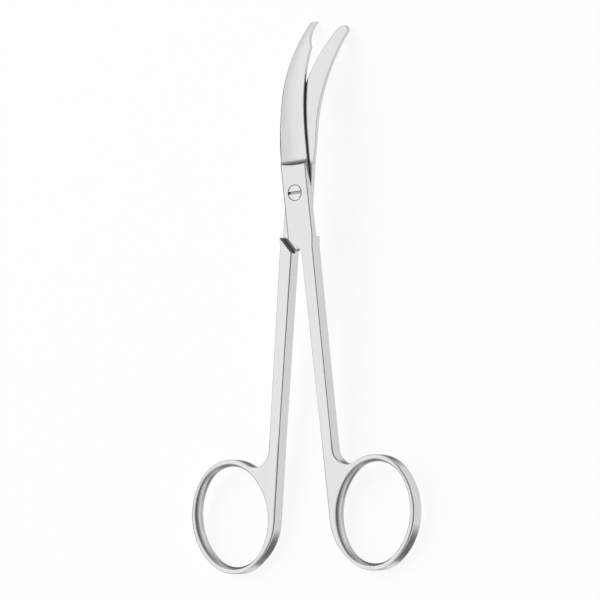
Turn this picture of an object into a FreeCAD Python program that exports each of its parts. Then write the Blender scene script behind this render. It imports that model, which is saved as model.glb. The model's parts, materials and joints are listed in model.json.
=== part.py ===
import FreeCAD, Part
import math
import os

# Suture scissors with a hooked blade and a blunt blade, lying screw side up, in millimetres.
# Each half is one forging: blade, lap joint, shank and finger ring. The blade of a half lies
# across the pivot from its ring. Both blades bend away from the screw side.
#
# The halves are drawn in the joint's frame: the pivot axis is Z, Z = 0 is the shear plane between
# the halves, +Z is the screw side and +Y runs to the blades. At the end they are opened about the
# pivot and laid down so that the rings and the blunt tip touch Z = 0.

Vec = FreeCAD.Vector
X_AXIS = Vec(1, 0, 0)
Z_AXIS = Vec(0, 0, 1)

# Lap joint
half_thickness = 1.5          # one half's metal at the joint
lap_gap = 0.1                 # running gap between the two shear faces
spine_edge = 3.05             # pivot to the joint's edge on the blade spine's side
shank_edge = 3.35             # pivot to the joint's edge on the shank's side, at the blade root
waist_edge = 3.42             # the same at the lower end of the joint
shoulder_top = -9.6           # where the diagonal end of the joint starts
shoulder_angle = 44.0         # slope of that diagonal
shoulder_clearance = 0.45     # between the diagonal and the other half's shoulder, when closed
blade_root = 6.5              # where the joint ends and the bend of the blades begins

# Screw
head_radius = 1.7
head_height = 0.9
screw_radius = 1.1
head_clearance = 0.07         # radial, round the head
screw_clearance = 0.05        # radial, in the half that turns on the screw
thread_clearance = 0.02       # radial, in the half that the screw is fixed in
head_seat_gap = 0.05
head_bevel = 0.08
slot_width = 0.6
slot_depth = 0.45
slot_angle = 3.0

# Shanks
shank_gap_top = 0.1          # between the closed shanks, just below the joint
shank_gap_ring = 0.74         # between the closed shanks, beside the rings
shank_width_top = 3.05
shank_width_ring = 2.6
shank_top = -14.0             # where the shank's inner side starts
shank_flare = -12.0           # where its outer side starts
shank_end = -54.0             # from here its inner side runs parallel to the other one
arris_round = 0.25            # rounding of the arrises of shank and ring

# Finger rings
ring_x = 11.7                 # ring centre from the closing line
ring_y = -71.12
ring_half_long = 12.45        # outer oval
ring_half_wide = 10.52
ring_lean = 10.5              # degrees that the outer oval leans outwards
bore_half_long = 10.98        # at the bore's waist, halfway through the ring
bore_half_wide = 8.95
bore_crown = 0.63             # how far the waist stands in from the bore's rims
bore_lean = 13.7
oval_end = 0.72               # radius of an oval's two ends, as a share of its long half axis
web_radius = 3.8              # in the crotch between shank and ring
heel_start = -71.5            # where the shank's inner side starts to round into the ring's foot
heel_radius = 12.0
heel_turn = 52.0              # degrees that it turns, which ends it inside the outer oval

# Bend of the blades: an arc in the YZ plane from the blade root on
bend_radius = 42.2            # of the shear faces
hook_outer_radius = 42.2      # of the hooked blade's outer face, so that it thins to its tip
blunt_outer_radius = 42.8     # of the blunt blade's outer face

# Plan of the blades, from root to tip: (y, spine x, cutting edge x, depth of the grind beside the
# bevel, depth of the grind at the edge, width of the bevel along the spine). The last station lies
# past the tip.
hook_stations = [
    (7.4, -3.12, 3.35, 0.35, 1.05, 0.3),
    (15.54, -2.88, 2.96, 0.2, 0.95, 0.35),
    (23.64, -2.82, 2.27, 0.12, 0.8, 0.4),
    (32.14, -2.15, 1.65, 0.08, 0.6, 0.4),
    (39.4, -1.25, 1.3, 0.05, 0.5, 0.3),
]
hook_crown = [(-1.86, 36.7), (-1.42, 38.05), (0.0, 38.5)]
hook_notch = [(0.0, 38.5), (0.1, 36.2), (0.62, 34.1)]
blunt_stations = [
    (7.4, -3.25, 3.35, 0.35, 1.0, 0.3),
    (15.54, -2.82, 2.9, 0.2, 0.9, 0.4),
    (23.64, -2.38, 2.48, 0.12, 0.7, 0.5),
    (31.31, -2.28, 1.65, 0.08, 0.5, 0.5),
    (39.4, -2.2, 0.8, 0.05, 0.35, 0.5),
]
blunt_tip = [(-2.18, 34.7), (-1.5, 36.6), (-0.35, 37.12), (0.8, 35.9)]

# Grind of the outer faces
bevel_angle = 35.0
grind_hollow = 0.2            # how far the hollow lies under its chord
grind_overlap = 0.15          # how far the grind reaches over the bevel, so that the two cross
cove_radius = 1.3             # where the grind runs out at the joint

# Pose: how far the blades stand open
opening = 10.95

face = lap_gap / 2 + half_thickness
lap = lap_gap / 2
rim_reach = 0.4               # how far the bore's cutting body reaches past the ring's faces
beyond = 2.5                  # how far cutting bodies reach past the metal
far = 60.0


def straight(a, b):
    return Part.LineSegment(Vec(a[0], a[1], 0), Vec(b[0], b[1], 0)).toShape()


def prism(points, z0, z1):
    """An upright body on a polygon."""
    wire = Part.makePolygon([Vec(x, y, z0) for x, y in points + points[:1]])
    return Part.Face(wire).extrude(Vec(0, 0, z1 - z0))


def oval_wire(long_half, wide_half, lean, z):
    """A leaning oval of four arcs round the ring's centre."""
    end_radius = oval_end * long_half
    side_radius = (long_half ** 2 + wide_half ** 2 - 2 * long_half * end_radius) / (
        2 * (wide_half - end_radius))
    end_centre = long_half - end_radius
    join_angle = math.atan2(side_radius - wide_half, end_centre)
    join_x = end_centre + end_radius * math.cos(join_angle)
    join_y = end_radius * math.sin(join_angle)
    around = [(join_x, join_y), (0, wide_half), (-join_x, join_y), (-long_half, 0),
              (-join_x, -join_y), (0, -wide_half), (join_x, -join_y), (long_half, 0),
              (join_x, join_y)]
    points = [Vec(x, y, z) for x, y in around]
    wire = Part.Wire([Part.Arc(*points[k:k + 3]).toShape() for k in (0, 2, 4, 6)])
    wire.rotate(Vec(0, 0, 0), Z_AXIS, 90 - lean)
    wire.translate(Vec(ring_x, ring_y, 0))
    return wire


def ring_bore():
    """The finger's hole: a leaning oval with a waist, so that the ring is round to the finger."""
    wires = []
    for z in (-face - rim_reach, 0, face + rim_reach):
        growth = bore_crown * (z / face) ** 2
        wires.append(oval_wire(bore_half_long + growth, bore_half_wide + growth, bore_lean, z))
    return Part.makeLoft(wires, True, False)


def edges_where(solid, test):
    """The edges of which every sampled point passes a test."""
    chosen = []
    for edge in solid.Edges:
        first, last = edge.ParameterRange
        points = [edge.valueAt(first + (last - first) * k / 4) for k in range(5)]
        if all(test(p) for p in points):
            chosen.append(edge)
    return chosen


def shank_inner(y):
    """The shank's inner side, which leaves the closing line between joint and ring."""
    top, end = shank_gap_top / 2, shank_gap_ring / 2
    share = min(max((shank_top - y) / (shank_top - shank_end), 0), 1)
    return top + (end - top) * share


def heel_point(inner_end, share):
    """A point of the arc on which the shank's inner side rounds into the ring's foot."""
    angle = math.radians(heel_turn * share)
    return Vec(inner_end + heel_radius * (1 - math.cos(angle)),
               heel_start - heel_radius * math.sin(angle), 0)


def handle():
    """Joint, shank and ring of one half, before the lap is cut.

    It is drawn with the shank on +X and its outer face on +Z.
    """
    slope = math.tan(math.radians(shoulder_angle))
    inner_top, inner_end = shank_inner(shank_top), shank_inner(shank_end)
    outer_top, outer_ring = inner_top + shank_width_top, inner_end + shank_width_ring
    corner_y = shoulder_top - slope * (spine_edge + inner_top)
    heel = [heel_point(inner_end, share) for share in (0, 0.5, 1)]
    corners = [
        (heel[2].x, heel[2].y), (ring_x, heel_start), (outer_ring, ring_y),
        (outer_ring, shank_end), (outer_top, shank_flare), (waist_edge, shoulder_top),
        (shank_edge, 0), (shank_edge, blade_root), (-spine_edge, blade_root),
        (-spine_edge, shoulder_top), (inner_top, corner_y), (inner_top, shank_top),
        (inner_end, shank_end), (inner_end, heel_start),
    ]
    sides = [straight(a, b) for a, b in zip(corners, corners[1:])]
    outline = Part.Wire(sides + [Part.Arc(*heel).toShape()])
    outline.translate(Vec(0, 0, -face))
    strip = Part.Face(outline).extrude(Vec(0, 0, 2 * face))
    rim = oval_wire(ring_half_long, ring_half_wide, ring_lean, -face)
    ring = Part.Face(rim).extrude(Vec(0, 0, 2 * face))
    body = strip.fuse(ring).removeSplitter()

    def in_crotch(p):
        return abs(p.x - outer_ring) < 0.1 and ring_y < p.y < shank_end - 1

    body = body.makeFillet(web_radius, edges_where(body, in_crotch))

    def on_arris(p):
        on_face = abs(abs(p.z) - face) < 1e-4
        outer = p.x > min(outer_ring, shank_edge) - 0.1
        return on_face and (outer or p.y < corner_y + 1e-4)

    body = body.makeFillet(arris_round, edges_where(body, on_arris))
    return body.cut(ring_bore())


def lap_cut():
    """What the other half's joint takes out of a handle: all above its shoulder, under the lap."""
    slope = math.tan(math.radians(shoulder_angle))
    drop = shoulder_clearance / math.cos(math.radians(shoulder_angle))

    def shoulder(x):
        return shoulder_top - drop - slope * (spine_edge - x)

    side = 2 * shank_edge
    return prism([
        (-side, shoulder(-side)), (side, shoulder(side)), (side, blade_root + beyond),
        (-side, blade_root + beyond),
    ], -face - beyond, lap)


def turned_over(solid):
    """The same body for the other half: turned half round about the Y axis."""
    copy = solid.copy()
    copy.rotate(Vec(0, 0, 0), Vec(0, 1, 0), 180)
    return copy


def curve(points):
    """A smooth plan curve through points."""
    line = Part.BSplineCurve()
    line.interpolate([Vec(x, y, 0) for x, y in points])
    return line.toShape()


def plan_edges(stations, count):
    """Spine and cutting edge of a blade up to a station, as lists of plan points."""
    used = stations[:count]
    spine = [(-spine_edge, blade_root)] + [(s[1], s[0]) for s in used]
    edge = [(shank_edge, blade_root)] + [(s[2], s[0]) for s in used]
    return spine, edge


def upright(edges):
    """A tall body on a closed plan outline."""
    outline = Part.Wire(Part.__sortEdges__(edges))
    outline.translate(Vec(0, 0, -far))
    return Part.Face(outline).extrude(Vec(0, 0, 2 * far))


def hook_plan():
    spine, edge = plan_edges(hook_stations, 4)
    spine[-1:] = [spine[-1], hook_crown[0]]
    return upright([
        curve(spine), curve(hook_crown), curve(hook_notch + [edge[-1]]), curve(edge),
        straight(edge[0], spine[0]),
    ])


def blunt_plan():
    spine, edge = plan_edges(blunt_stations, 4)
    spine[-1:] = [spine[-1], blunt_tip[0]]
    return upright([
        curve(spine), curve(blunt_tip), straight(blunt_tip[-1], edge[-1]), curve(edge),
        straight(edge[0], spine[0]),
    ])


def bent_profile(radius, level):
    """Points of a line at a level that bends down with a radius from the blade root on."""
    turn = math.radians(62)
    centre = Vec(0, blade_root, level - radius)

    def on_arc(angle):
        return centre + Vec(0, math.sin(angle), math.cos(angle)) * radius

    return on_arc(0), on_arc(turn / 2), on_arc(turn)


def under_bent_face(radius, level):
    """All that lies under a bent face which runs straight across the blade."""
    start, middle, end = bent_profile(radius, level)
    back, low = Vec(0, -beyond, level), -far
    edges = [
        Part.LineSegment(back, start).toShape(), Part.Arc(start, middle, end).toShape(),
        Part.LineSegment(end, Vec(0, end.y, low)).toShape(),
        Part.LineSegment(Vec(0, end.y, low), Vec(0, back.y, low)).toShape(),
        Part.LineSegment(Vec(0, back.y, low), back).toShape(),
    ]
    outline = Part.Face(Part.Wire(edges))
    outline.translate(Vec(-far / 2, 0, 0))
    return outline.extrude(Vec(far, 0, 0))


def under_shear_face(level):
    """All that lies under a shear face, which is turned about the pivot so that it never binds."""
    start, middle, end = bent_profile(bend_radius + level, level)
    axis_top, low = Vec(0, 0, level), -far
    edges = [
        Part.LineSegment(axis_top, start).toShape(), Part.Arc(start, middle, end).toShape(),
        Part.LineSegment(end, Vec(0, end.y, low)).toShape(),
        Part.LineSegment(Vec(0, end.y, low), Vec(0, 0, low)).toShape(),
        Part.LineSegment(Vec(0, 0, low), axis_top).toShape(),
    ]
    return Part.Face(Part.Wire(edges)).revolve(Vec(0, 0, 0), Z_AXIS, 360)


class Section:
    """The cross-section of an outer face at one place along the blade."""

    def __init__(self, y, radius, side):
        self.angle = math.asin((y - blade_root) / radius)
        self.radius, self.side = radius, side

    def at(self, x, height):
        """The point at x that stands a height proud of the outer face."""
        centre = Vec(0, blade_root, self.side * face - self.radius)
        ray = Vec(0, math.sin(self.angle), math.cos(self.angle))
        return centre + ray * (self.radius + self.side * height) + X_AXIS * x


def hollow_points(station, side):
    """Start, low point and end of the hollow grind across a blade, past the cutting edge."""
    y, spine, edge, ridge, depth, bevel = station
    start = spine + bevel - grind_overlap
    width = edge - start

    def height(share):
        return -ridge - (depth - ridge) * share - 4 * grind_hollow * share * (1 - share)

    return [(side * (start + width * share), height(share)) for share in (0, 0.65, 1.3)]


def closed_wire(points, arc):
    """A closed wire through points, of which the first three may lie on an arc."""
    edges = [Part.Arc(*points[:3]).toShape()] if arc else []
    rest = points[2:] + points[:1] if arc else points + points[:1]
    edges += [Part.LineSegment(a, b).toShape() for a, b in zip(rest, rest[1:])]
    return Part.Wire(edges)


def hollow_cut(stations, radius, side):
    """The hollow of a blade's outer face, with the cove where the wheel left the joint."""
    wires = []
    for station in stations:
        section = Section(station[0], radius, side)
        ground = hollow_points(station, side)
        top = [(ground[2][0], beyond), (ground[0][0], beyond)]
        wires.append(closed_wire([section.at(*p) for p in ground + top], True))
    hollow = Part.makeLoft(wires, True, False)

    section = Section(stations[0][0], radius, side)
    ground = hollow_points(stations[0], side)
    axis = [(x, height + cove_radius) for x, height in (ground[2], ground[0])]
    outline = Part.Face(closed_wire([section.at(*p) for p in ground + axis], True))
    start, end = section.at(*axis[1]), section.at(*axis[0])
    turn = -90 if (end - start).cross(Vec(0, -1, 0)).z * side < 0 else 90
    cove = outline.revolve(start, (end - start).normalize(), turn)
    return hollow.fuse(cove)


def bevel_cut(stations, radius, side):
    """The bevel along the spine, from the shoulder to past the tip."""
    rise = math.tan(math.radians(bevel_angle))

    def corners(spine, ridge, bevel):
        low = -ridge - (bevel + beyond) * rise
        return [
            (side * (spine + bevel), -ridge), (side * (spine - beyond), low),
            (side * (spine - beyond), beyond), (side * (spine + bevel), beyond),
        ]

    first = stations[0]
    root = (blade_root, -spine_edge, first[2], 0.0) + first[4:]
    wires = []
    for y, spine, edge, ridge, depth, bevel in [root] + list(stations):
        section = Section(y, radius, side)
        wires.append(closed_wire([section.at(*p) for p in corners(spine, ridge, bevel)], False))
    along_joint = Part.Face(wires[0]).extrude(Vec(0, 2 * shoulder_top, 0))
    at_cove = Part.makeLoft(wires[:2], True, True)
    along_blade = Part.makeLoft(wires[1:], True, False)
    return along_joint.fuse([at_cove, along_blade])


def screw_hole(side):
    """Clearance for the screw: a seat for the head in the upper half, the thread in the lower."""
    if side < 0:
        return Part.makeCylinder(screw_radius + thread_clearance, far, Vec(0, 0, -far))
    seat = face - head_height - head_seat_gap
    hole = Part.makeCylinder(screw_radius + screw_clearance, far)
    return hole.fuse(Part.makeCylinder(head_radius + head_clearance, far, Vec(0, 0, seat)))


def hooked_half():
    blade = hook_plan().common(under_bent_face(hook_outer_radius, face))
    blade = blade.cut(under_shear_face(lap))
    body = handle().cut(lap_cut()).fuse(blade).removeSplitter()
    body = body.cut(hollow_cut(hook_stations, hook_outer_radius, 1))
    body = body.cut(bevel_cut(hook_stations, hook_outer_radius, 1))
    return body.cut(screw_hole(1))


def blunt_half():
    plan = turned_over(blunt_plan())
    blade = plan.common(under_shear_face(-lap))
    blade = blade.cut(under_bent_face(blunt_outer_radius, -face))
    body = turned_over(handle().cut(lap_cut())).fuse(blade).removeSplitter()
    body = body.cut(hollow_cut(blunt_stations, blunt_outer_radius, -1))
    body = body.cut(bevel_cut(blunt_stations, blunt_outer_radius, -1))
    return body.cut(screw_hole(-1))


def screw():
    head = Part.makeCylinder(head_radius, head_height, Vec(0, 0, face - head_height))
    head = head.makeChamfer(head_bevel, edges_where(head, lambda p: abs(p.z - face) < 1e-6))
    slot = Part.makeBox(4 * head_radius, slot_width, slot_depth + beyond)
    slot.translate(Vec(-2 * head_radius, -slot_width / 2, face - slot_depth))
    slot.rotate(Vec(0, 0, 0), Z_AXIS, slot_angle)
    shaft = Part.makeCylinder(screw_radius, 2 * face - head_height, Vec(0, 0, -face))
    return head.fuse(shaft).removeSplitter().cut(slot)


def lowest(solid, tilt):
    """The lowest point of a body that is tilted about X."""
    copy = solid.copy()
    copy.rotate(Vec(0, 0, 0), X_AXIS, tilt)
    return copy.optimalBoundingBox(False, False).ZMin


def resting_tilt(solid):
    """The tilt at which the ring's foot and the blade's tip lie on one level."""
    ring = solid.common(Part.makeBox(far, far, far, Vec(-far / 2, ring_y - far, -far / 2)))
    tip = solid.common(Part.makeBox(far, far, far, Vec(-far / 2, bend_radius / 2, -far)))
    low, high = 0.0, 20.0
    for step in range(30):
        middle = (low + high) / 2
        if lowest(ring, middle) > lowest(tip, middle):
            low = middle
        else:
            high = middle
    return (low + high) / 2


def main():
    pieces = {"hook_blade_half": hooked_half(), "blunt_blade_half": blunt_half(), "joint_screw": screw()}
    turn = {"hook_blade_half": opening / 2, "blunt_blade_half": -opening / 2, "joint_screw": 0}
    for name, solid in pieces.items():
        solid.rotate(Vec(0, 0, 0), Z_AXIS, turn[name])
    tilt = resting_tilt(pieces["blunt_blade_half"])
    for solid in pieces.values():
        solid.rotate(Vec(0, 0, 0), X_AXIS, tilt)
    box = Part.makeCompound(list(pieces.values())).optimalBoundingBox(False, False)
    base = Vec(box.Center.x, box.Center.y, box.ZMin)
    os.makedirs("parts", exist_ok=True)
    for name, solid in pieces.items():
        solid.translate(base * -1)
        solid.exportStep(os.path.join("parts", name + ".step"))
        print(name, "valid", solid.isValid(), "solids", len(solid.Solids), "volume", round(solid.Volume, 1))
    print("tilt", round(tilt, 3), "pivot at", [round(c, 3) for c in base * -1])
    print("size", [round(v, 2) for v in (box.XLength, box.YLength, box.ZLength)])


if __name__ == "__main__":
    main()
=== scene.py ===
# %% [markdown]
# # Suture scissors in satin steel
#
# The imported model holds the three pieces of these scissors: a half with a hooked blade, a half with
# a blunt blade, and the slotted screw on which they turn. Their shapes are right as they are, so
# this lesson gives them the things that a solid lacks: polished steel with its fine grinding lines
# and softly broken arrises, a bright studio to be mirrored in them, and a camera.
#
# The model is loaded first. Every length in it is in metres and it lies on the floor at z = 0.

# %% Load the model
import json
import math

import bpy
from mathutils import Matrix, Vector

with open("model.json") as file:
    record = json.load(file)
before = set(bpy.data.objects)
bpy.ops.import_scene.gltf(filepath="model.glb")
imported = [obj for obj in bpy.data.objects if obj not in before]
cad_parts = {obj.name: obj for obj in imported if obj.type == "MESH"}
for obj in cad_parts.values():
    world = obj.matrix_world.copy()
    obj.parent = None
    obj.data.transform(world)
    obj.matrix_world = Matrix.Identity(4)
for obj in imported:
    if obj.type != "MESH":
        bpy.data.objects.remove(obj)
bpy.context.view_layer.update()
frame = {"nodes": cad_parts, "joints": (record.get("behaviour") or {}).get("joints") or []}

# %% [markdown]
# ## The joint's own directions
#
# The scissors lie on their rings and on the tip of one blade, so their flat faces lean a few
# degrees. The hinge in the model tells where the pivot is and which way its axis points. The other
# directions follow from it: across the scissors is the world's X, and along them is square to both.

# %% Read the hinge
MM = 0.001
hinge = frame["joints"][0]
pivot = Vector(hinge["pos_m"])
out_of_face = Vector(hinge["axis"]).normalized()
across = Vector((1, 0, 0))
along = out_of_face.cross(across).normalized()
half_opening = math.radians(-hinge["range_deg"][0] / 2)
print("pivot", pivot, "lean", round(math.degrees(math.acos(out_of_face.z)), 2), "degrees")

# %% [markdown]
# ## The camera
#
# The camera stands to the right of the scissors, 34 degrees round their long axis, and a little
# towards the rings. It is also turned a little, so that they lean to the left in the picture. It is
# far away with a long lens, as for a catalogue picture, so that both rings look nearly the same
# size. A point on the screw's face is the anchor: it has a known place in the picture, and the
# picture's scale holds there.

# %% Place the camera
VIEW_ROUND = math.radians(34)
VIEW_DOWN = math.radians(2.67)
VIEW_ROLL = math.radians(1.22)
PIXELS = 600
PIXELS_PER_MM = 4.62
SCREW_PIXEL = (294.75, 192.7)
FACE_HEIGHT = 1.55 * MM
LENS_MM = 420
SENSOR_MM = 36
CLIP_END = 10

sideways = across * math.sin(VIEW_ROUND) + out_of_face * math.cos(VIEW_ROUND)
towards_camera = sideways * math.cos(VIEW_DOWN) - along * math.sin(VIEW_DOWN)
level_up = along * math.cos(VIEW_DOWN) + sideways * math.sin(VIEW_DOWN)
level_right = level_up.cross(towards_camera)
picture_right = level_right * math.cos(VIEW_ROLL) - level_up * math.sin(VIEW_ROLL)
picture_up = level_up * math.cos(VIEW_ROLL) + level_right * math.sin(VIEW_ROLL)
field = PIXELS / PIXELS_PER_MM * MM
distance = field * LENS_MM / SENSOR_MM
screw_face = pivot + out_of_face * FACE_HEIGHT
right_of_middle = SCREW_PIXEL[0] - PIXELS / 2
above_middle = PIXELS / 2 - SCREW_PIXEL[1]
from_middle = picture_right * right_of_middle + picture_up * above_middle
middle = screw_face - from_middle * (MM / PIXELS_PER_MM)

camera_data = bpy.data.cameras.new("catalogue_camera")
camera_data.lens = LENS_MM
camera_data.sensor_width = SENSOR_MM
camera_data.clip_end = CLIP_END
camera = bpy.data.objects.new("catalogue_camera", camera_data)
bpy.context.scene.collection.objects.link(camera)
turn = Matrix((picture_right, picture_up, towards_camera)).transposed()
camera.matrix_world = Matrix.Translation(middle + towards_camera * distance) @ turn.to_4x4()
bpy.context.scene.camera = camera
print("camera", round(distance, 3), "m away, field", round(field * 1000, 1), "mm")

# %% [markdown]
# ## Shader sums as plain sums
#
# Materials are networks of nodes. Wired by hand they are long to write and hard to read, so one
# small class stands for a value in such a network. A sum on it, such as 1 - mask, adds the Math
# node that does the sum. A few methods add the nodes that come back often, and node() adds any
# other.

# %% The class for values in a node network
class Value:
    """An output socket in a node tree."""

    def __init__(self, tree, socket=None):
        self.tree = tree
        self.socket = socket

    def node(self, kind, settings=None, inputs=None, output=0):
        """Add a node: its settings first, then the values or links of its sockets."""
        made = self.tree.nodes.new("ShaderNode" + kind)
        for name, setting in (settings or {}).items():
            setattr(made, name, setting)
        for name, value in (inputs or {}).items():
            if isinstance(value, Value):
                self.tree.links.new(value.socket, made.inputs[name])
            else:
                made.inputs[name].default_value = value
        return Value(self.tree, made.outputs[output]) if made.outputs else None

    def math(self, operation, *values):
        """A sum on numbers."""
        sockets = dict(enumerate((self,) + values))
        return self.node("Math", {"operation": operation}, sockets)

    def vector_math(self, operation, *values):
        """A sum on vectors that gives a vector."""
        sockets = dict(enumerate((self,) + values))
        return self.node("VectorMath", {"operation": operation}, sockets)

    def dot(self, direction):
        """How far a vector goes in a direction."""
        return self.node("VectorMath", {"operation": "DOT_PRODUCT"},
                         {0: self, 1: direction}, "Value")

    def __add__(self, other):
        return self.math("ADD", other)

    def __mul__(self, other):
        return self.math("MULTIPLY", other)

    def __sub__(self, other):
        return self.math("SUBTRACT", other)

    def __rsub__(self, other):
        return self.node("Math", {"operation": "SUBTRACT"}, {0: other, 1: self})

    __radd__ = __add__
    __rmul__ = __mul__

    def ramp(self, low, high, to_low=0.0, to_high=1.0):
        """A soft step from one level to another while the value goes from low to high."""
        return self.node("MapRange", {"interpolation_type": "SMOOTHSTEP"},
                         {"Value": self, "From Min": low, "From Max": high,
                          "To Min": to_low, "To Max": to_high})

    def noise(self, scale, detail):
        """Noise at the place that a vector points to."""
        return self.node("TexNoise", inputs={"Vector": self, "Scale": scale, "Detail": detail})


def network(owner):
    """An empty node tree of a material or world, as a Value to add nodes with."""
    owner.use_nodes = True
    owner.node_tree.nodes.clear()
    return Value(owner.node_tree)


print("a value in a network can be added, subtracted and multiplied")

# %% [markdown]
# ## The studio that the steel mirrors
#
# Polished steel has no colour of its own to speak of: what is seen in it is the room. Instruments
# are photographed between large white screens, and the gaps between the screens show as the dark
# lines along every arris. Lamps and card boxes could build that room, but the world shader does it
# with less: it gives each direction a brightness. A wide white screen stands on the left and fades
# out overhead, and below lies a pale table. A dark curtain hangs on the right, with a white card
# between it and the table. Of the five dark gaps, one lies below in front, one below on the left,
# and three follow the table's left edge, from the far corner to the near one. The camera itself
# sees plain white instead.

# %% Build the world
SURROUND = 0.42
SCREEN_SIDE = (0.30, -0.50)
SCREEN_LEVEL = 1.0
TABLE_LEVEL = 0.80
TABLE_EDGE = (-0.30, -0.55)
GAPS = [
    # direction, depth, full within, gone beyond (degrees)
    ((0.20, -0.50, -0.84), 0.80, 9, 29),
    ((-0.60, 0.40, -0.69), 0.55, 22, 42),
    ((-0.55, 0.65, -0.45), 0.80, 14, 31),
    ((-0.55, -0.75, -0.36), 0.80, 15, 32),
    ((-0.966, 0.00, -0.26), 0.85, 22, 36),
]
CURTAIN_DEPTH = 0.85
CURTAIN_SIDE = (0.12, 0.42)
CURTAIN_FOOT = (-0.15, 0.25)
CURTAIN_TOP = (0.86, 0.66)
CARD_LEVEL = 0.5
CARD_SIDE = (0.30, 0.60)
CARD_TOP = (0.0, -0.15)
CARD_FOOT = (-0.62, -0.45)
WHITE = (1, 1, 1, 1)

world = bpy.data.worlds.new("white_studio")
bpy.context.scene.world = world
sky = network(world)
looking = sky.node("TexCoord", output="Generated")


def seen_near(direction, full, gone):
    """1 where a direction of the sky lies near another one, 0 far from it."""
    near, far = math.cos(math.radians(full)), math.cos(math.radians(gone))
    return looking.dot(Vector(direction).normalized()).ramp(far, near)


height = looking.dot((0, 0, 1))
sideways_look = looking.dot((1, 0, 0))
above_table = height.ramp(*TABLE_EDGE, 1.0, 0.0)
screen = sideways_look.ramp(*SCREEN_SIDE) * above_table
brightness = SURROUND + screen * (SCREEN_LEVEL - SURROUND)
brightness = brightness + height.ramp(*TABLE_EDGE) * (TABLE_LEVEL - SURROUND)
for direction, depth, full, gone in GAPS:
    brightness = brightness * (1 - seen_near(direction, full, gone) * depth)
card = sideways_look.ramp(*CARD_SIDE) * height.ramp(*CARD_TOP) * height.ramp(*CARD_FOOT)
brightness = brightness + card * CARD_LEVEL
curtain = sideways_look.ramp(*CURTAIN_SIDE) * height.ramp(*CURTAIN_FOOT)
curtain = curtain * height.ramp(*CURTAIN_TOP)
brightness = brightness * (1 - curtain * CURTAIN_DEPTH)
ray = sky.node("LightPath", output="Is Camera Ray")
studio = sky.node("Background", inputs={"Color": brightness, "Strength": 1.0})
plain = sky.node("Background", inputs={"Color": WHITE, "Strength": 1.0})
shown = sky.node("MixShader", inputs={0: ray, 1: studio, 2: plain})
sky.node("OutputWorld", inputs={"Surface": shown})
print("world with a screen, a table,", len(GAPS), "gaps, a curtain and a card")

# %% [markdown]
# ## The floor
#
# The scissors lie on a white sweep of paper. It has to be as white as the page in the picture and
# still keep their faint shadow. So it is a mix: most of it glows at exactly white for the camera,
# and the rest is matt paper with a trace of fibre, which the lamp lights. For rays that come from
# the steel it steps aside, so that the steel mirrors the studio's table and gaps below it as well.

# %% Lay the floor
PAPER_SHARE = 0.1
PAPER_GREY = 0.91
FIBRE_DEPTH = 0.02
FIBRE_SCALE = 900.0
FIBRE_DETAIL = 3.0
FLOOR_SIZE = 8.0

floor_mesh = bpy.data.meshes.new("paper_sweep")
reach = FLOOR_SIZE / 2
floor_mesh.from_pydata(
    [(-reach, -reach, 0), (reach, -reach, 0), (reach, reach, 0), (-reach, reach, 0)],
    [], [(0, 1, 2, 3)])
floor = bpy.data.objects.new("paper_sweep", floor_mesh)
bpy.context.scene.collection.objects.link(floor)

paper = bpy.data.materials.new("white_paper")
net = network(paper)
glow = net.node("Emission", inputs={"Color": WHITE, "Strength": 1.0})
fibre = net.node("TexNoise", inputs={"Scale": FIBRE_SCALE, "Detail": FIBRE_DETAIL})
matt = net.node("BsdfDiffuse", inputs={"Color": fibre * FIBRE_DEPTH + PAPER_GREY})
page = net.node("MixShader", inputs={0: PAPER_SHARE, 1: glow, 2: matt})
beyond = net.node("BsdfTransparent")
from_steel = net.node("LightPath", output="Is Glossy Ray")
surface = net.node("MixShader", inputs={0: from_steel, 1: page, 2: beyond})
net.node("OutputMaterial", inputs={"Surface": surface})
floor_mesh.materials.append(paper)
print("floor", FLOOR_SIZE, "m wide")

# %% [markdown]
# ## One soft lamp
#
# A large square lamp over the left shoulder gives the paper its even light and the scissors their
# soft shadow. It isn't mirrored in the steel, which has the studio's screen and card for that.

# %% Hang the lamp
LAMP_SIZE = 0.9
LAMP_PLACE = Vector((-0.55, 0.35, 1.1))
LAMP_WATTS = 8.0

lamp_data = bpy.data.lights.new("soft_square_lamp", "AREA")
lamp_data.size = LAMP_SIZE
lamp_data.energy = LAMP_WATTS
lamp = bpy.data.objects.new("soft_square_lamp", lamp_data)
lamp.location = LAMP_PLACE
lamp.rotation_euler = (-LAMP_PLACE).to_track_quat("-Z", "Y").to_euler()
lamp.visible_glossy = False
bpy.context.scene.collection.objects.link(lamp)
print("lamp", round(LAMP_PLACE.length, 2), "m away")

# %% [markdown]
# ## Where things are on a half
#
# A half's lines run along the half itself, which stands open to its own side. So two directions,
# across the half and along it, are turned about the pivot by half the opening. The middle of its
# finger ring is measured in them too. The screw gets the directions of the scissors as a whole.

# %% Measure from the pivot
RING_CENTRE_MM = (11.7, -71.12)


def half_directions(side):
    """The directions across and along a half, which stands open to one side by half the angle."""
    turn = Matrix.Rotation(side * half_opening, 3, out_of_face)
    return turn @ across, turn @ along


def ring_centre(side):
    """The middle of a half's finger ring."""
    half_across, half_along = half_directions(side)
    x, y = RING_CENTRE_MM
    return pivot + (half_across * side * x + half_along * y) * MM


for side in (1, -1):
    print("ring", side, "centre", [round(v * 1000, 1) for v in ring_centre(side)], "mm")

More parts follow.
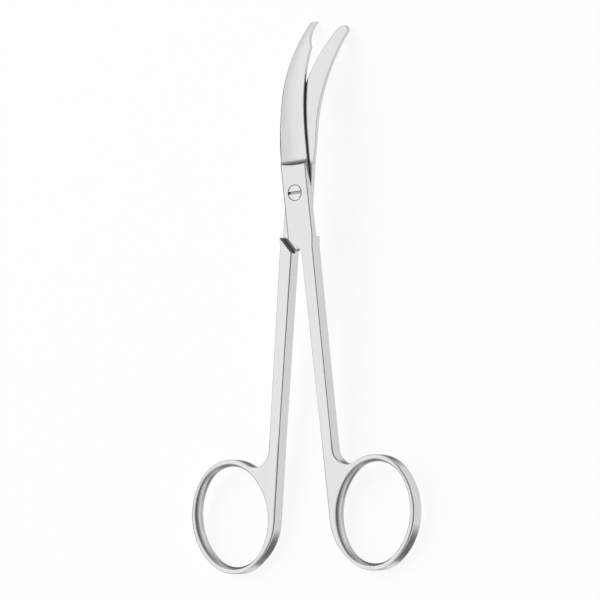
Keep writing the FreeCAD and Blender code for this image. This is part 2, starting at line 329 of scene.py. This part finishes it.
# %% [markdown]
# ## Satin steel
#
# The forgings are ground, then polished on a soft wheel. What is left is a nearly even mirror with
# very fine lines along each half, cloudy changes in how sharp it mirrors, and arrises that the
# wheel has broken. The lines and the broader streaks are noise, stretched along the half. The
# clouds are noise too, but aren't stretched. The broken arris is a Bevel node: it rounds the normal
# over a fraction of a millimetre without touching the solid, and over more on the finger rings,
# which are round to the hand. Where the rounded normal differs from the true one there is an
# arris, and there the steel mirrors more sharply. On the screw the rim is painted darker as well,
# as painted shade for the narrow groove round its head. The wheel doesn't reach into the joint,
# round the screw or under the blade's shoulder, so an Ambient Occlusion node finds those narrow
# places and leaves them dull, and paints them darker too, as painted shade.
#
# Three places are marked in another way. The rings' bores are ground round with a belt, so they
# are duller, with streaks round the bore, and they are also painted darker, as painted shade inside
# the ring. They are where the surface faces its ring's centre. The cove below the blade's hollow
# keeps the marks of the wheel's edge, so it is duller, and it is painted dark, as painted shade
# under the step. It is where the surface turns towards the tip, close to the root of the blade. The
# diagonal shoulder below the joint is painted dark, as painted shade. It faces the tip too, further
# down.
#
# These three are found with the surface's direction in the world, so they are exact for the
# scissors as they lie here, and shift a little on a half that is turned far.

# %% The wheel's marks
# How fine the noise is and how much detail it has, and how slowly it changes along the half.
LINES = (9000.0, 4.0)
STREAKS = (1400.0, 3.0)
CLOUDS = (160.0, 5.0)
LENGTHWISE = 0.04


def wheel_marks(place, x, y, z):
    """The fine lines and the streaks along a half, and the clouds."""
    on_half = place.node("CombineXYZ", inputs={"X": x, "Y": y * LENGTHWISE, "Z": z})
    return on_half.noise(*LINES), on_half.noise(*STREAKS), place.noise(*CLOUDS)


print("lines are", round(1 / LENGTHWISE), "times as long as they are wide")

# %% The belt's marks in a bore
# How squarely the surface faces the ring's centre, as a cosine: none of the mark, all of it.
BORE_FACING = (0.45, 0.75)
# The belt's noise, and how fast it changes round the bore and through it.
BELT = (1.0, 4.0)
BELT_ROUND = 1.6
BELT_THROUGH = 2600


def bore_marks(place, true_normal, side, z):
    """Where the surface faces the middle of its finger ring, and the belt's streaks round it."""
    to_centre = place.node("VectorMath", {"operation": "SUBTRACT"},
                           {0: ring_centre(side), 1: place}).vector_math("NORMALIZE")
    faces_centre = true_normal.dot(to_centre).ramp(*BORE_FACING)
    round_bore = place.node("VectorMath", {"operation": "SCALE"},
                            {0: to_centre, "Scale": BELT_ROUND})
    through_bore = place.node("CombineXYZ", inputs={"Z": z * BELT_THROUGH})
    return faces_centre, round_bore.vector_math("ADD", through_bore).noise(*BELT)


print("a bore faces its centre within", round(math.degrees(math.acos(BORE_FACING[0]))), "degrees")

# %% The cove and the shoulder
# How squarely the surface faces the tip, as a cosine, and places along the half. Each pair says
# where there is none of the mark and where there is all of it.
COVE_FACING = (0.02, 0.30)
COVE_STARTS = (5.0 * MM, 5.6 * MM)
COVE_ENDS = (7.7 * MM, 6.3 * MM)
SHOULDER_FACING = (0.55, 0.68)
SHOULDER_TOP = (-8.0 * MM, -9.0 * MM)
SHOULDER_END = (-20.0 * MM, -18.0 * MM)


def cove_and_shoulder(to_tip, y):
    """Where the cove below the blade's hollow is, and where the diagonal shoulder is."""
    in_cove = to_tip.ramp(*COVE_FACING) * y.ramp(*COVE_STARTS) * y.ramp(*COVE_ENDS)
    on_shoulder = to_tip.ramp(*SHOULDER_FACING) * y.ramp(*SHOULDER_TOP) * y.ramp(*SHOULDER_END)
    return in_cove, on_shoulder


print("the cove lies", round(COVE_STARTS[0] / MM, 1), "to", round(COVE_ENDS[0] / MM, 1),
      "mm from the pivot, towards the tip")

# %% The broken arrises and the crevices
# How far the rounded normal is off: none of the mark, all of it.
ARRIS_OFF = (0.01, 0.12)
# How open the place is: all of the mark, none of it.
CREVICE_OPEN = (0.4, 0.95)
CREVICE_REACH = 0.8 * MM
SAMPLES = 8


def arrises_and_crevices(true_normal, radius):
    """The normal with its arrises rounded, where the arrises are, and where little is open."""
    rounded = true_normal.node("Bevel", {"samples": SAMPLES}, {"Radius": radius})
    on_arris = (1 - rounded.dot(true_normal)).ramp(*ARRIS_OFF)
    openness = true_normal.node("AmbientOcclusion", {"samples": SAMPLES},
                                {"Distance": CREVICE_REACH}, "AO")
    return rounded, on_arris, openness.ramp(*CREVICE_OPEN, 1.0, 0.0)


print("crevices are looked for within", round(CREVICE_REACH / MM, 1), "mm")

# %% The brightness and the roughness
# How much each mark changes the steel's brightness.
STREAK_SHADE = 0.05
CLOUD_SHADE = 0.04
# Painted shade in the cove below the blade's hollow.
COVE_PAINTED_SHADE = 0.86
# Painted shade on the diagonal shoulder below the joint.
SHOULDER_PAINTED_SHADE = 0.75
# Partly painted shade: the bores are darkened in the colour; the belt's streaks in them are their
# finish.
BORE_PAINTED_SHADE = 0.20
BELT_SHADE = 0.7
# How much each mark changes its roughness. Only the arrises are smoother.
CLOUD_ROUGH = 0.08
LINE_ROUGH = 0.06
ARRIS_SMOOTH = 0.06
CREVICE_ROUGH = 0.25
BORE_ROUGH = 0.18
COVE_ROUGH = 0.1
NOISE_MIDDLE = 0.5

# The two kinds of steel: how bright and rough it is, how far its arrises are broken, on a ring
# too, and how much painted shade darkens its crevices and its arrises.
FORGED = {"grey": 0.78, "rough": 0.15, "arris": 0.25 * MM, "ring_arris": 0.7 * MM,
          "crevice_painted_shade": 0.93, "arris_painted_shade": 0.0}
# On the turned screw, the darkened crevices and rim are painted shade for the narrow groove round its
# head.
TURNED = {"grey": 0.80, "rough": 0.14, "arris": 0.1 * MM, "ring_arris": 0.1 * MM,
          "crevice_painted_shade": 0.6, "arris_painted_shade": 0.6}
print("forged steel", FORGED)
print("turned steel", TURNED)

# %% Make the steel
RING_STARTS = (-52 * MM, -56 * MM)
LINE_STRENGTH = 0.12
LINE_HEIGHT = 0.00002


def steel(name, side, grey, rough, arris, ring_arris, crevice_painted_shade, arris_painted_shade):
    """Polished steel whose fine lines run along a half that is turned about the pivot."""
    material = bpy.data.materials.new(name)
    net = network(material)
    half_across, half_along = half_directions(side)
    place = net.node("TexCoord", output="Object")
    true_normal = net.node("NewGeometry", output="Normal")
    from_pivot = place.vector_math("SUBTRACT", pivot)
    x = from_pivot.dot(half_across)
    y = from_pivot.dot(half_along)
    z = from_pivot.dot(out_of_face)

    on_ring = y.ramp(*RING_STARTS)
    radius = arris + on_ring * (ring_arris - arris)
    lines, streaks, clouds = wheel_marks(place, x, y, z)
    faces_centre, belt = bore_marks(place, true_normal, side, z)
    in_bore = faces_centre * on_ring
    in_cove, on_shoulder = cove_and_shoulder(true_normal.dot(half_along), y)
    rounded, on_arris, crevice = arrises_and_crevices(true_normal, radius)

    shade = grey + (streaks - NOISE_MIDDLE) * STREAK_SHADE + (clouds - NOISE_MIDDLE) * CLOUD_SHADE
    # Painted shade: the crevices and the cove are darkened in the colour.
    shade = shade * (1 - crevice * crevice_painted_shade) * (1 - in_cove * COVE_PAINTED_SHADE)
    # Painted shade: the shoulder and, on the screw, the rim are darkened in the colour.
    shade = shade * (1 - on_shoulder * SHOULDER_PAINTED_SHADE) * (1 - on_arris * arris_painted_shade)
    # Partly painted shade: the bores are darkened in the colour, with the belt's streaks.
    shade = shade * (1 - in_bore * (BORE_PAINTED_SHADE + (belt - NOISE_MIDDLE) * BELT_SHADE))
    roughness = rough + (clouds - NOISE_MIDDLE) * CLOUD_ROUGH
    roughness = roughness + (lines - NOISE_MIDDLE) * LINE_ROUGH - on_arris * ARRIS_SMOOTH
    roughness = roughness + crevice * CREVICE_ROUGH + in_bore * BORE_ROUGH + in_cove * COVE_ROUGH
    relief = net.node("Bump", inputs={"Strength": LINE_STRENGTH, "Distance": LINE_HEIGHT,
                                      "Height": lines, "Normal": rounded})
    bright = net.node("CombineColor", inputs={0: shade, 1: shade, 2: shade})
    surface = net.node("BsdfPrincipled", inputs={
        "Base Color": bright, "Metallic": 1.0, "Roughness": roughness, "Normal": relief})
    net.node("OutputMaterial", inputs={"Surface": surface})
    return material


hook_steel = steel("satin_steel_hooked_half", 1, **FORGED)
blunt_steel = steel("satin_steel_blunt_half", -1, **FORGED)
screw_steel = steel("turned_steel_screw", 0, **TURNED)
print("steels", hook_steel.name, blunt_steel.name, screw_steel.name)

# %% [markdown]
# ## Give each piece its steel
#
# The three solids keep their shape and ride on their bodies already. Each gets its own steel in its
# material slot.

# %% Assign the steels
FINISHES = {
    "hook_blade_half": (hook_steel, "satin_steel"),
    "blunt_blade_half": (blunt_steel, "satin_steel"),
    "joint_screw": (screw_steel, "screw_steel"),
}
for node, (material, slot_name) in FINISHES.items():
    piece = frame["nodes"][node]
    for slot in piece.material_slots:
        slot.material = material
    print(node, "has", len(piece.data.polygons), "faces")

# %% [markdown]
# ## Colours as they are written
#
# The Standard view transform shows a grey of 0.8 as that grey, with no film look on top.

# %% Set the view
bpy.context.scene.view_settings.view_transform = "Standard"
